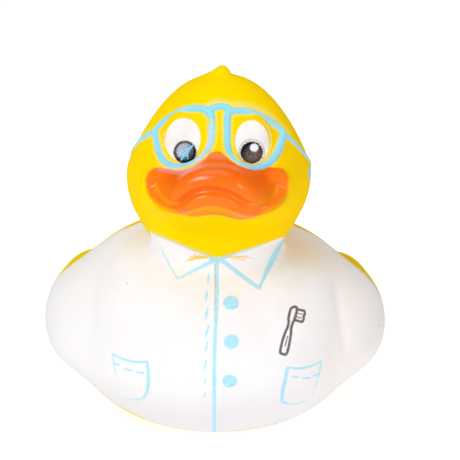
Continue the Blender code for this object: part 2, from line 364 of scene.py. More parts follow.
def outer_form(P):
    d = face_form(P)
    sel = (P[:, 1] < 8) & (P[:, 2] > 52)
    if sel.any():
        Q, e = P[sel], d[sel]
        e = smin(e, eye_balls(Q), 0.8)
        d[sel] = smin(e, glasses(Q) + 0.06, 0.45)
    for mid, b in zip(button_mid, BUTTONS):
        sel = np.linalg.norm(P - mid, axis=1) < 4
        if sel.any():
            Q = P[sel] - mid
            disc = np.hypot(Q[:, 0] / b[2], Q[:, 2] / b[3]) / SCALE - 1.0
            d[sel] -= 0.22 / (1.0 + np.exp(disc * 14.0))
    return d


# ------------------------------------------------------------------ inside, hole
WALL, HOLE_R = 2.0, 7.5


def inner_form(P):
    return np.maximum(np.minimum(np.minimum(torso(P), skull(P)), wing_lobe(P)) + WALL, WALL - P[:, 2])


def shell_form(P):
    d = outer_form(P)
    near = P[:, 2] < 8
    d = np.maximum(d, -inner_form(P))
    if near.any():
        hole = np.hypot(P[near, 0] - ORIGIN[0], P[near, 1] - ORIGIN[1]) - HOLE_R
        d[near] = smax(d[near], -hole, 0.5)
    return d


# ------------------------------------------------------------------ skin: a net over the form
def net(fn, lo, hi, h):
    """Quads round the zero of fn: one point a cell, one face a crossed edge."""
    ax = [np.arange(a, b + h, h) for a, b in zip(lo, hi)]
    shape = tuple(len(a) for a in ax)
    step = 4
    cax = [a[::step] for a in ax]
    G = np.stack(np.meshgrid(*cax, indexing="ij"), -1).reshape(-1, 3)
    coarse = fn(G).reshape([len(a) for a in cax])
    near = np.abs(coarse) < h * step * 1.9
    block = np.repeat(np.repeat(np.repeat(near, step, 0), step, 1), step, 2)
    grow = block.copy()
    for axis in range(3):
        for shift in (-step, step):
            grow |= np.roll(block, shift, axis)
        block = grow.copy()
    block = block[:shape[0], :shape[1], :shape[2]]
    sign = np.repeat(np.repeat(np.repeat(coarse, step, 0), step, 1), step, 2)[:shape[0], :shape[1], :shape[2]]
    D = np.where(sign < 0, -9.0, 9.0)
    I = np.argwhere(block)
    for s in range(0, len(I), 400000):
        part = I[s:s + 400000]
        D[tuple(part.T)] = fn(np.stack([ax[k][part[:, k]] for k in range(3)], 1))
    inside = D < 0
    c = inside[:-1, :-1, :-1]
    same = np.ones_like(c)
    for dx in (0, 1):
        for dy in (0, 1):
            for dz in (0, 1):
                same &= inside[dx:dx + c.shape[0], dy:dy + c.shape[1], dz:dz + c.shape[2]] == c
    cells = np.argwhere(~same)
    index = np.full(c.shape, -1, int)
    index[tuple(cells.T)] = np.arange(len(cells))
    total, count = np.zeros((len(cells), 3)), np.zeros(len(cells))
    for axis in range(3):
        others = [k for k in range(3) if k != axis]
        for u in (0, 1):
            for v in (0, 1):
                a = cells.copy()
                a[:, others[0]] += u
                a[:, others[1]] += v
                b = a.copy()
                b[:, axis] += 1
                da, db = D[tuple(a.T)], D[tuple(b.T)]
                cross = (da < 0) != (db < 0)
                t = np.where(cross, da / np.where(cross, da - db, 1.0), 0.0)
                p = a + t[:, None] * (b - a)
                total[cross] += p[cross]
                count[cross] += 1
    V = np.stack([ax[k][0] + (total[:, k] / count) * h for k in range(3)], 1)
    faces = []
    for axis in range(3):
        o1, o2 = [k for k in ((axis + 1) % 3, (axis + 2) % 3)]
        lo_cut = [slice(None)] * 3
        hi_cut = [slice(None)] * 3
        lo_cut[axis], hi_cut[axis] = slice(0, -1), slice(1, None)
        a, b = inside[tuple(lo_cut)], inside[tuple(hi_cut)]
        E = np.argwhere(a != b)
        ok = (E[:, o1] > 0) & (E[:, o2] > 0) & (E[:, o1] < shape[o1] - 1) & (E[:, o2] < shape[o2] - 1)
        E = E[ok]
        quad = []
        for u, v in ((0, 0), (-1, 0), (-1, -1), (0, -1)):
            q = E.copy()
            q[:, o1] += u
            q[:, o2] += v
            quad.append(index[tuple(q.T)])
        quad = np.stack(quad, 1)
        flip = b[tuple(E.T)]
        quad[flip] = quad[flip][:, ::-1]
        faces.append(quad)
    Q = np.vstack(faces)
    d02 = np.linalg.norm(V[Q[:, 0]] - V[Q[:, 2]], axis=1)
    d13 = np.linalg.norm(V[Q[:, 1]] - V[Q[:, 3]], axis=1)
    T = np.where((d02 <= d13)[:, None, None], Q[:, [[0, 1, 2], [0, 2, 3]]], Q[:, [[0, 1, 3], [1, 2, 3]]]).reshape(-1, 3)
    return V, T


def refine(V, T, want):
    """Splits each edge that is longer than want asks for at its middle."""
    E = np.sort(np.vstack((T[:, [0, 1]], T[:, [1, 2]], T[:, [2, 0]])), axis=1)
    U, inv = np.unique(E, axis=0, return_inverse=True)
    inv = inv.reshape(3, -1).T
    mid = (V[U[:, 0]] + V[U[:, 1]]) / 2
    length = np.linalg.norm(V[U[:, 0]] - V[U[:, 1]], axis=1)
    cut = length > 1.35 * want(mid, length)
    new = np.full(len(U), -1)
    new[cut] = len(V) + np.arange(cut.sum())
    V = np.vstack((V, mid[cut]))
    m = new[inv]
    n = (m >= 0).sum(1)
    out = [T[n == 0]]
    for k in range(3):
        a, b, c = T[:, k], T[:, (k + 1) % 3], T[:, (k + 2) % 3]
        ab, bc, ca = m[:, k], m[:, (k + 1) % 3], m[:, (k + 2) % 3]
        s = (n == 1) & (ab >= 0)
        out += [np.stack((a, ab, c), 1)[s], np.stack((ab, b, c), 1)[s]]
        s = (n == 2) & (ca < 0)
        out += [np.stack((ab, b, bc), 1)[s], np.stack((a, ab, bc), 1)[s], np.stack((a, bc, c), 1)[s]]
    s = n == 3
    a, b, c, ab, bc, ca = T[s, 0], T[s, 1], T[s, 2], m[s, 0], m[s, 1], m[s, 2]
    out += [np.stack(x, 1) for x in ((a, ab, ca), (ab, b, bc), (ca, bc, c), (ab, bc, ca))]
    return V, np.vstack(out)


# ------------------------------------------------------------------ lines painted on the coat (picture px)
def stroke(points, widths, n=None, smooth=True):
    n = n or max(6, len(points) * 5)
    line = catmull(points, n) if smooth else np.asarray(points, float)
    w = np.interp(np.linspace(0, 1, len(line)), np.linspace(0, 1, len(widths)), widths) / 2
    return line, w


COAT_LINES = [
    stroke([(217.5, 259), (206, 264.5), (192, 271.5), (177.6, 279)], (4.6, 3.9, 2.6, 1.6)),
    stroke([(177.6, 279), (171, 267.5), (164.5, 255), (160, 246)], (1.7, 1.3, 0.8)),
    stroke([(220, 259), (232, 268), (246, 279), (259, 288)], (4.4, 4.2, 4.0)),
    stroke([(259, 288.3), (266, 273), (274, 256.5), (282, 242)], (2.8, 4.2, 6.0, 3.0)),
    stroke([(217.4, 260), (217.2, 300), (215.6, 327), (214.6, 355), (214.3, 392), (214.3, 431)], (3.4, 3.2, 3.6, 3.8, 3.4), 40),
    stroke([(208, 257.4), (213, 258.4), (218, 259.3), (224, 258.2), (232, 255.6)], (1.4, 2.8, 3.4, 2.4, 1.4)),
    stroke([(112.5, 354), (121, 358.2), (130, 361), (139, 362), (146.6, 361.8)], (1.6, 2.2, 2.4)),
    stroke([(147, 361.8), (148.3, 372), (148.2, 384), (147, 392), (143, 398.4)], (2.6, 3.5, 3.4, 2.0)),
    stroke([(112.4, 354.4), (114.2, 366), (117.4, 378)], (1.2, 0.9, 0.4)),
    stroke([(143, 398.4), (133, 400), (124, 397.5)], (1.6, 0.8, 0.4)),
    stroke([(287.5, 367.5), (300, 368.4), (311, 365.8), (321.3, 361.3)], (2.0, 2.2, 2.0)),
    stroke([(287.6, 368.5), (284.6, 382), (282, 396), (282.6, 401.5), (286.5, 403.4)], (3.2, 3.5, 3.2, 2.2)),
    stroke([(321.2, 361.8), (319.4, 373), (315.8, 386.5), (311, 396)], (1.6, 1.0, 0.4)),
    stroke([(286.5, 403.4), (297, 404), (306, 400.5)], (1.6, 0.9, 0.4)),
]
for x0, y0, x1, y1 in ((209.0, 273.0, 207.8, 283.0), (207.0, 291.0, 206.0, 301.5), (207.7, 308.3, 205.8, 319), (208.8, 325.2, 205.6, 336.5),
                       (207.2, 342, 205.6, 353), (206.3, 360.2, 204.4, 369.5), (205.2, 378, 204.8, 384.6), (205, 393, 205, 397)):
    COAT_LINES.append((np.array(((x0, y0), ((x0 + x1) / 2, (y0 + y1) / 2), (x1, y1))), np.array((0.8, 1.4, 0.75)) * (1.0 if y0 < 340 else 0.8)))
for x0, y0, x1, y1 in ((113.5, 363.2, 118.5, 365), (125, 368.6, 131.5, 370.7), (137, 372.4, 143.4, 373), (292.5, 376.6, 298.5, 377.4), (303, 378.2, 309.6, 377.9), (313.6, 375.8, 318.4, 374)):
    COAT_LINES.append((np.array(((x0, y0), (x1, y1))), np.array((0.95, 0.95))))
# a thin grey-brown line of painted shade along the placket's crease
PLACKET_CREASE_SHADE = [(np.array(((215.0, 264), (215.2, 290), (214.4, 322))), np.array((0.55, 0.6, 0.3)))]

BRUSH_MID, BRUSH_TILT = (289.0, 330.5), 14.0


def motif_lines():
    """A toothbrush in outline: handle, neck, head and a block of bristles."""
    t = np.radians(BRUSH_TILT)
    along, across = np.array((np.sin(t), -np.cos(t))), np.array((np.cos(t), np.sin(t)))

    def at(rows):
        rows = np.asarray(rows, float)
        return np.array(BRUSH_MID) + rows[:, :1] * along + rows[:, 1:] * across

    handle = catmull([(-24.5, 0), (-23.2, -3.2), (-14, -3.9), (-4, -3.3), (3, -2.2), (8.5, -2.3), (11.5, -3.4), (21.5, -3.4), (24.6, 0)], 44)
    back = catmull([(24.6, 0), (22.8, 2.6), (11.8, 2.6), (8.5, 1.8), (3, 1.6), (-4, 2.8), (-14, 3.6), (-23.2, 3.2), (-24.5, 0)], 44)
    lines = [(at(handle), np.full(44, 1.35)), (at(back), np.full(44, 1.35))]
    tuft = np.array([(11.6, 3.0), (11.4, 10.6), (14.4, 11.6), (17.4, 10.8), (20.2, 11.4), (22.8, 10.2), (22.6, 3.0)])
    lines.append((at(tuft), np.full(len(tuft), 1.25)))
    for u in (15.1, 18.9):
        lines.append((at([(u, 4.4), (u, 8.6)]), np.array((0.6, 0.6))))
    lines.append((at([(-16, 0), (-6, 0)]), np.array((0.6, 0.6))))
    return lines


MOTIF = motif_lines()
HALO = [stroke([(262, 119.5), (267.6, 126.5), (270.6, 136), (270.4, 147), (266.5, 157.5)], (0.5, 1.1, 1.3, 1.2, 0.5)),
        stroke([(165.2, 131), (163.8, 139), (164.4, 148)], (0.4, 0.9, 0.5)), stroke([(241, 160), (247, 165), (253, 166)], (0.5, 1.0, 0.4))]
BILL_EDGE = [(216.5, 151), (221, 152), (225.5, 156), (231, 160.5), (239, 165.5), (247, 168), (255, 169), (264, 167.6), (271, 167.4), (276.7, 167.8),
             (282, 168.4), (286, 172), (288.4, 177), (288.8, 184), (287.6, 192), (284.6, 200), (279, 206.4), (272, 211), (262, 215), (252, 218.2),
             (243, 219.8), (235, 218.6), (226, 216), (215, 214.6), (205, 215.2), (195, 216.6), (184, 215.4), (171, 212), (159.5, 206), (151, 198.6), (146.6, 190),
             (145.4, 181), (147.5, 173.5), (152.5, 168.8), (159, 167.4), (168, 169), (178, 170.8), (188, 169.2), (197, 164.4), (205.5, 158), (211, 152.5), (216.5, 151)]
MISSED = [
    stroke([(154.8, 182), (158.3, 191), (163.8, 198.6), (171, 203), (178, 203.4)], (2.5, 4.2, 4.2, 2.0)),
    stroke([(277, 184.5), (274, 193), (267.5, 200), (257, 204.3), (250, 204.6)], (3.0, 3.4, 2.6, 1.5)),
    stroke([(188, 213), (196, 211.4), (206, 209.4), (216, 209.2), (227, 211.6), (236, 215), (247, 218)], (1.6, 4.4, 5.6, 5.6, 5.0, 3.0, 1.6)),
    stroke([(153, 198), (158, 205), (166, 209.6), (178, 212.6)], (2.0, 4.6, 5.0, 3.0)),
    stroke([(262, 213.6), (271, 210), (278, 204.6), (283, 197)], (2.0, 4.0, 4.0, 2.0)),
]
# painted shadow: a darker orange line below the lower lip
LIP_SHADOW_LINE = [stroke([(195, 216), (203, 214.6), (214, 213.8), (223, 214.8), (232, 217.2), (241, 219.2)], (0.6, 1.2, 1.5, 1.5, 1.3, 0.6))]
# painted highlight: a soft pinkish band on the upper left of the bill
BILL_HIGHLIGHT = [stroke([(158, 168.5), (168, 170.3), (178, 171.6), (188, 169.6), (197, 164.6), (205, 158.4)], (2.5, 5.0, 4.5, 3.5, 3.0))]
HAZE = [stroke([(206, 106), (213, 103), (220, 101.8), (230, 104), (243, 105), (256, 108), (268, 114), (279, 123), (289, 133)], (4.0, 6.0, 6.0, 4.5, 4.0, 3.5, 3.0)),
        stroke([(136, 140), (146, 133.5), (155, 127.5)], (3.0, 4.0, 2.0))]
NECK_YELLOW = [stroke([(186, 261), (192, 259.2), (199, 257.8), (207, 257.4)], (1.0, 2.6, 2.2)), stroke([(189, 257), (196, 256.6), (205, 257.2)], (0.6, 1.8, 1.4)),
               stroke([(193, 254), (200, 255.6), (206, 257)], (0.6, 1.4, 1.4)), stroke([(230, 257.6), (238, 256.6), (246, 257), (253, 258.6)], (1.2, 1.8, 1.4, 0.5)),
               stroke([(232, 259.6), (239, 259), (245, 260)], (0.5, 1.0, 0.4))]
NECK_BLUE = [stroke([(150, 231), (157, 235), (166, 238.6), (178, 243.6), (191, 249), (202, 253.4), (211.6, 257)], (1.2, 2.2, 2.6, 2.2, 2.6, 3.4)),
             stroke([(224, 257.4), (233, 254.4), (244.8, 250.6), (256, 247), (268, 242.6)], (3.4, 2.6, 2.2, 1.4))]
SMEAR = [stroke([(193.8, 144.6), (190.6, 147.4), (187.6, 150.4)], (1.0, 2.2, 2.2)), stroke([(190.8, 147.4), (187.0, 151.4), (183.6, 155.0), (181.4, 159.6)], (0.8, 3.0, 3.4, 1.8)),
         stroke([(184.4, 152.8), (178.6, 155.8)], (1.8, 1.0), 4), stroke([(187.2, 152.8), (187.8, 158.6)], (1.6, 1.0), 4)]


def off_lines(px, lines):
    """Signed distance in px to the nearest of these strokes, minus inside."""
    out = np.full(len(px), 40.0)
    for line, w in lines:
        pad = 12 + w.max()
        sel = np.all((px > line.min(0) - pad) & (px < line.max(0) + pad), axis=1)
        if not sel.any():
            continue
        q = px[sel]
        best = np.full(len(q), 40.0)
        for a, b, r0, r1 in zip(line[:-1], line[1:], w[:-1], w[1:]):
            ba = b - a
            t = np.clip((q - a) @ ba / max(ba @ ba, 1e-9), 0, 1)
            np.minimum(best, np.hypot(*(q - a - t[:, None] * ba).T) - (r0 + (r1 - r0) * t), out=best)
        out[sel] = np.minimum(out[sel], best)
    return out


def off_patch(px, edge, n=None):
    """Signed distance in px to a closed outline, minus inside."""
    line = catmull(edge, n or len(edge) * 3)
    d = off_lines(px, [(line, np.zeros(len(line)))])
    x, y = px[:, 0], px[:, 1]
    odd = np.zeros(len(px), bool)
    for a, b in zip(line, np.roll(line, -1, 0)):
        cross = (a[1] > y) != (b[1] > y)
        if cross.any():
            odd ^= cross & (x < (b[0] - a[0]) * (y - a[1]) / (b[1] - a[1] + 1e-12) + a[0])
    return np.where(odd, -d, d)


def off_oval(px, c, r, tilt=0.0):
    t = np.radians(tilt)
    q = px - np.asarray(c, float)
    u = q[:, 0] * np.cos(t) + q[:, 1] * np.sin(t)
    v = -q[:, 0] * np.sin(t) + q[:, 1] * np.cos(t)
    k = np.hypot(u / r[0], v / r[1])
    return (k - 1) * min(r) * np.clip(k, 0.6, 1.0) ** 0


def paint_fields(V, N):
    px = project(V)
    facing = N @ BACK
    front = (facing > 0.02) & (inner_form(V) > 0.8)
    away = np.where(front, 0.0, 30.0)
    f = {}
    f["blue"] = off_lines(px, COAT_LINES)
    for x, y, rx, ry in BUTTONS:
        f["blue"] = np.minimum(f["blue"], off_oval(px, (x, y), (rx, ry)))
    f["neck_blue"] = off_lines(px, NECK_BLUE)
    f["placket_shade"] = off_lines(px, PLACKET_CREASE_SHADE)
    f["motif"] = off_lines(px, MOTIF)
    f["bill"] = off_patch(px, BILL_EDGE)
    f["missed"] = off_lines(px, MISSED)
    f["lip_shadow"] = off_lines(px, LIP_SHADOW_LINE)
    f["lilac"] = off_lines(px, BILL_HIGHLIGHT)
    f["haze"] = off_lines(px, HAZE)
    f["streak"] = off_lines(px, NECK_YELLOW)
    f["smear"] = off_lines(px, SMEAR)
    f["halo"] = off_lines(px, HALO)
    eyes = np.minimum(*[off_oval(px, c, r, t) for c, r, t in EYES])
    f["eye"] = eyes
    behind = {"blue": 6.0, "neck_blue": 0.0, "placket_shade": 0.0, "motif": 0.0, "streak": 0.0}
    for k in f:
        hidden = V[:, 1] > behind[k] if k in behind else (V[:, 1] > -9) | (V[:, 2] < 44)
        f[k] = np.clip(f[k] + np.where(hidden, 30.0, away), -40, 40)
    chin = (V[:, 2] < 56) & (V[:, 1] > -26.5)
    for k in ("bill", "missed", "lip_shadow"):
        f[k] = np.where(chin, np.maximum(f[k], 8.0), f[k])
    f["bill"] = np.where((V[:, 1] < -30.5) & (V[:, 2] > 50) & (facing < 0.02), np.minimum(f["bill"], -6.0), f["bill"])
    f["glass"] = np.clip(np.minimum(glasses(V) / SCALE, 40) + np.where(inner_form(V) > 0.8, 0, 30), -40, 40)
    head, body = skull(V), np.minimum(torso(V), wing(V))
    seam = np.clip((head - body) / SCALE, -40, 40)
    above = off_patch(px, [(96, 190), (112, 215)] + NECK + [(330, 220), (350, 190), (350, 20), (96, 20)], 160)
    w = np.clip((-9.0 - V[:, 1]) / 6.0, 0, 1) * np.clip((72.0 - np.abs(px[:, 0] - 218.0)) / 5.0, 0, 1)
    f["neck"] = np.clip(seam * (1 - w) + above * w, -40, 40)
    return f, px


def want_size(coarse):
    fine = 0.24
    mid = 0.42

    def want(P, length):
        px = project(P)
        s = np.full(len(P), coarse)
        face = (P[:, 1] < -12) & (P[:, 2] > 50) & (P[:, 2] < 82) & (np.abs(P[:, 0] - HEAD_X) < 21)
        outer = outer_form(P) > -0.9
        s[face & outer] = mid
        shown = outer & (P[:, 1] < 2)
        near = np.full(len(P), 40.0)
        q = px[shown]
        d = np.abs(off_lines(q, COAT_LINES + MOTIF + NECK_YELLOW + NECK_BLUE + PLACKET_CREASE_SHADE))
        for x, y, rx, ry in BUTTONS:
            d = np.minimum(d, np.abs(off_oval(q, (x, y), (rx, ry))))
        for c, r, t in EYES:
            d = np.minimum(d, np.abs(off_oval(q, c, r, t)))
        for c in PUPILS:
            d = np.minimum(d, np.where(off_oval(q, c, (12.5, 12.5)) < 1.0, 0.0, 40.0))
        near[shown] = d
        s = np.where(near < 0.9 + 0.45 * length / SCALE, np.minimum(s, fine), s)
        g = glasses(P)
        return np.where((np.abs(g) < 0.45) & outer, np.minimum(s, 0.28), s)

    return want


def make_skin():
    h = 1.05
    V, T = net(shell_form, (-45, -44, -2), (45, 51, 92.5), h)
    V = V - shell_form(V)[:, None] * gradient(shell_form, V)
    want = want_size(h * 1.5)
    for _ in range(3):
        V, T = refine(V, T, want)
        V = V - np.clip(shell_form(V), -0.5, 0.5)[:, None] * gradient(shell_form, V)
    for _ in range(2):
        V = V - np.clip(shell_form(V), -0.3, 0.3)[:, None] * gradient(shell_form, V)
    V[:, 2] = np.where(V[:, 2] < 0.06, 0.0, V[:, 2])
    return V, T


V, T = make_skin()
N = gradient(outer_form, V)
fields, PX = paint_fields(V, N)
mesh = bpy.data.meshes.new("duck_skin")
mesh.from_pydata(((V - ORIGIN) * MM).tolist(), [], T.tolist())
mesh.validate()
mesh.shade_smooth()
duck = bpy.data.objects.new("duck_skin", mesh)
bpy.context.scene.collection.objects.link(duck)
for name, values in fields.items():
    mesh.attributes.new("f_" + name, "FLOAT", "POINT").data.foreach_set("value", values.astype(np.float32))
at = np.zeros((len(V), 3), np.float32)
at[:, :2] = PX
mesh.attributes.new("front", "FLOAT_VECTOR", "POINT").data.foreach_set("vector", at.ravel())
mesh.attributes.new("mm", "FLOAT_VECTOR", "POINT").data.foreach_set("vector", V.astype(np.float32).ravel())
print("duck_skin", len(T), "triangles")


# ------------------------------------------------------------------ materials
class Nodes:
    def __init__(self, name):
        self.mat = bpy.data.materials.new(name)
        self.mat.use_nodes = True
        self.tree = self.mat.node_tree
        self.shader = self.tree.nodes["Principled BSDF"]

    def feed(self, socket, value):
        if isinstance(value, bpy.types.NodeSocket):
            self.tree.links.new(value, socket)
        elif isinstance(value, (tuple, list)) and len(value) == 3 and socket.type == "RGBA":
            socket.default_value = (*value, 1.0)
        else:
            socket.default_value = value

    def math(self, op, a, b=0.0, c=0.0, clamp=False):
        n = self.tree.nodes.new("ShaderNodeMath")
        n.operation, n.use_clamp = op, clamp
        for s, v in zip(n.inputs, (a, b, c)):
            self.feed(s, v)
        return n.outputs[0]

    def mix(self, fac, a, b, blend="MIX"):
        n = self.tree.nodes.new("ShaderNodeMix")
        n.data_type, n.blend_type = "RGBA", blend
        self.feed(n.inputs[0], fac)
        self.feed(n.inputs[6], a)
        self.feed(n.inputs[7], b)
        return n.outputs[2]

    def attr(self, name, vector=False):
        n = self.tree.nodes.new("ShaderNodeAttribute")
        n.attribute_name = name
        return n.outputs["Vector" if vector else "Fac"]

    def noise(self, scale, detail=2.0, where=None, stretch=None):
        n = self.tree.nodes.new("ShaderNodeTexNoise")
        n.inputs["Scale"].default_value = scale
        n.inputs["Detail"].default_value = detail
        at = where if where is not None else self.attr("mm", True)
        if stretch is not None:
            m = self.tree.nodes.new("ShaderNodeVectorMath")
            m.operation = "MULTIPLY"
            self.feed(m.inputs[0], at)
            m.inputs[1].default_value = stretch
            at = m.outputs[0]
        self.feed(n.inputs["Vector"], at)
        return n.outputs["Fac"]

    def ramp(self, x, lo, hi, a=0.0, b=1.0):
        n = self.tree.nodes.new("ShaderNodeMapRange")
        n.interpolation_type = "SMOOTHSTEP"
        for s, v in zip(n.inputs, (x, lo, hi, a, b)):
            self.feed(s, v)
        return n.outputs[0]

    def split(self, vec):
        n = self.tree.nodes.new("ShaderNodeSeparateXYZ")
        self.feed(n.inputs[0], vec)
        return n.outputs

    def oval(self, px, py, c, r):
        """Distance in px from an oval's edge, minus inside."""
        u = self.math("DIVIDE", self.math("SUBTRACT", px, c[0]), r[0])
        v = self.math("DIVIDE", self.math("SUBTRACT", py, c[1]), r[1])
        k = self.math("SQRT", self.math("ADD", self.math("MULTIPLY", u, u), self.math("MULTIPLY", v, v)))
        return self.math("MULTIPLY", self.math("SUBTRACT", k, 1.0), min(r))

    def inside(self, d, soft=0.5, grow=0.0, ragged=None, amount=0.0):
        """1 inside a field, 0 outside, over soft px either side of its edge."""
        if ragged is not None:
            d = self.math("ADD", d, self.math("MULTIPLY", self.math("SUBTRACT", ragged, 0.5), amount))
        return self.ramp(d, grow + soft, grow - soft)


def srgb(text):
    out = []
    for i in (0, 2, 4):
        c = int(text[i:i + 2], 16) / 255
        out.append(c / 12.92 if c <= 0.04045 else ((c + 0.055) / 1.055) ** 2.4)
    return tuple(out)


def duck_material():
    n = Nodes("painted_vinyl")
    px, py, _ = n.split(n.attr("front", True))
    x, y, z = n.split(n.attr("mm", True))
    fine, broad, grain = n.noise(1.6, 3.0), n.noise(0.11, 2.0), n.noise(4.0, 2.0)

    # bare vinyl
    colour = n.mix(n.ramp(broad, 0.35, 0.65), srgb("fcd700"), srgb("fcd400"))
    # painted shade: the bare yellow turns deeper towards the right side, away from the key light
    right_side_shade = n.ramp(x, 0.0, 22.0, 0.0, 0.55)
    colour = n.mix(right_side_shade, colour, srgb("fac400"))

    # sprayed coat
    side = n.math("ABSOLUTE", x)
    over = n.ramp(side, 28.0, 35.5)
    edge = n.ramp(side, 18.0, 28.0, 7.2, 9.2)
    edge = n.math("ADD", edge, n.math("MULTIPLY", over, n.ramp(x, -1.0, 1.0, -2.4, -3.6)))
    edge = n.math("ADD", edge, n.math("ADD", n.ramp(x, -32.0, -39.0, 0.0, -0.9), n.ramp(x, 35.0, 39.0, 0.0, -1.2)))
    edge = n.math("ADD", edge, n.math("MULTIPLY", over, n.ramp(n.math("ADD", z, n.ramp(x, -1.0, 1.0, 0.0, 7.0)), 37.5, 24.5, 0.0, 4.5)))
    edge_y = n.math("SUBTRACT", n.math("ADD", edge, n.math("MULTIPLY", n.math("SUBTRACT", n.noise(0.3, 2.0), 0.5), 0.5)), y)
    low = n.math("SUBTRACT", z, n.math("ADD", n.ramp(x, -9.0, -26.0, 0.3, 6.0), n.math("MULTIPLY", fine, 0.6)))
    neck = n.math("ADD", n.attr("f_neck"), n.math("MULTIPLY", n.math("SUBTRACT", fine, 0.5), 0.8))
    coat = n.math("MULTIPLY", n.ramp(edge_y, -0.8, 0.8), n.ramp(low, -0.3, 0.5))
    coat = n.math("MULTIPLY", coat, n.ramp(neck, -0.6, 0.6))
    white = n.mix(n.ramp(broad, 0.3, 0.7), srgb("f1eff0"), srgb("eeebeb"))
    # painted shade: the coat's white is greyer towards the bottom, at the far left and, a little warmer, on the right
    # side
    white = n.mix(n.math("MULTIPLY", n.ramp(z, 20.0, 8.0), 0.8), white, srgb("e6e3e4"))
    white = n.mix(n.ramp(x, -22.0, -32.0), white, srgb("edebeb"))
    white = n.mix(n.ramp(x, 16.0, 34.0), white, srgb("ede7e4"))
    # painted warm shade on the coat's upper right, by the collar and over the shoulder
    right_collar_shade = n.math("MULTIPLY", n.inside(n.oval(px, py, (295, 248), (24, 13)), 10.0), 0.6)
    white = n.mix(right_collar_shade, white, srgb("f4dfbe"))
    right_shoulder_shade = n.math("MULTIPLY", n.inside(n.oval(px, py, (318, 262), (20, 11)), 9.0), n.ramp(y, 8.0, 4.0, 0.0, 0.42))
    white = n.mix(right_shoulder_shade, white, srgb("f6dfc2"))
    thin = n.ramp(edge_y, 3.5, 0.0, 0.0, 0.5)
    white = n.mix(thin, white, srgb("f6e3b0"))
    colour = n.mix(coat, colour, white)

    # lines of the coat
    blue = n.mix(n.ramp(fine, 0.3, 0.7), srgb("9fdcf0"), srgb("b0e5f5"))
    lines = n.inside(n.attr("f_blue"), 0.55, 0.0, fine, 0.9)
    colour = n.mix(n.math("MULTIPLY", lines, 0.95), colour, blue)
    colour = n.mix(n.math("MULTIPLY", n.inside(n.attr("f_neck_blue"), 0.7, 0.0, fine, 1.2), 0.55), colour, srgb("b7d2c4"))
    # painted shade: a thin grey-brown line in the placket's crease
    colour = n.mix(n.math("MULTIPLY", n.inside(n.attr("f_placket_shade"), 0.5, 0.0, fine, 1.0), 0.6), colour, srgb("8a8078"))
    colour = n.mix(n.math("MULTIPLY", n.inside(n.attr("f_streak"), 0.5, 0.0, fine, 1.6), 0.9), colour, srgb("f7c41c"))
    ink = n.inside(n.attr("f_motif"), 0.5, 0.0, fine, 0.5)
    colour = n.mix(n.math("MULTIPLY", ink, n.ramp(grain, 0.25, 0.6, 0.78, 0.95)), colour, srgb("57474b"))
    for c in ((127.4, 283.4), (231.5, 384.6), (379.0, 325.4)):
        colour = n.mix(n.math("MULTIPLY", n.inside(n.oval(px, py, c, (0.7, 0.7)), 0.5), n.math("MULTIPLY", coat, 0.5)), colour, srgb("6d6a72"))

    # wing trim, a thin blue-grey line where the coat ends over each wing
    trim = n.math("MULTIPLY", n.ramp(n.math("ABSOLUTE", n.math("SUBTRACT", edge_y, 0.9)), 1.2, 0.5), n.ramp(x, 33.0, 36.0))
    trim = n.math("MULTIPLY", n.math("MULTIPLY", trim, n.ramp(z, 22.0, 27.0)), n.ramp(fine, 0.3, 0.6, 0.3, 0.8))
    colour = n.mix(trim, colour, srgb("a8cbe0"))

    # bill
    soft = n.math("ADD", n.ramp(py, 172.0, 190.0, 0.6, 1.5), n.ramp(n.math("ABSOLUTE", n.math("SUBTRACT", px, 217.0)), 55.0, 70.0, 0.0, 1.2))
    d = n.math("ADD", n.attr("f_bill"), n.math("MULTIPLY", n.math("SUBTRACT", n.noise(0.9, 3.0), 0.5), 1.6))
    orange = n.ramp(n.math("DIVIDE", d, soft), 1.0, -1.0)
    tone = n.mix(n.ramp(py, 176.0, 200.0), srgb("ff6a00"), srgb("ff7a12"))
    tone = n.mix(n.ramp(n.math("ABSOLUTE", n.math("SUBTRACT", px, 217.0)), 42.0, 70.0, 0.0, 0.7), tone, srgb("ff8400"))
    colour = n.mix(orange, colour, tone)
    missed = n.math("MULTIPLY", n.inside(n.attr("f_missed"), 2.0, 0.0, fine, 2.0), 0.75)
    colour = n.mix(missed, colour, srgb("fba400"))
    # painted shadow below the lower lip
    colour = n.mix(n.math("MULTIPLY", n.inside(n.attr("f_lip_shadow"), 0.6, 0.0, fine, 0.8), 0.7), colour, srgb("e07800"))
    # painted highlight on the upper left of the bill
    lilac = n.math("MULTIPLY", n.inside(n.attr("f_lilac"), 1.8, 0.0, fine, 1.5), 0.55)
    colour = n.mix(lilac, colour, srgb("f2a0a8"))

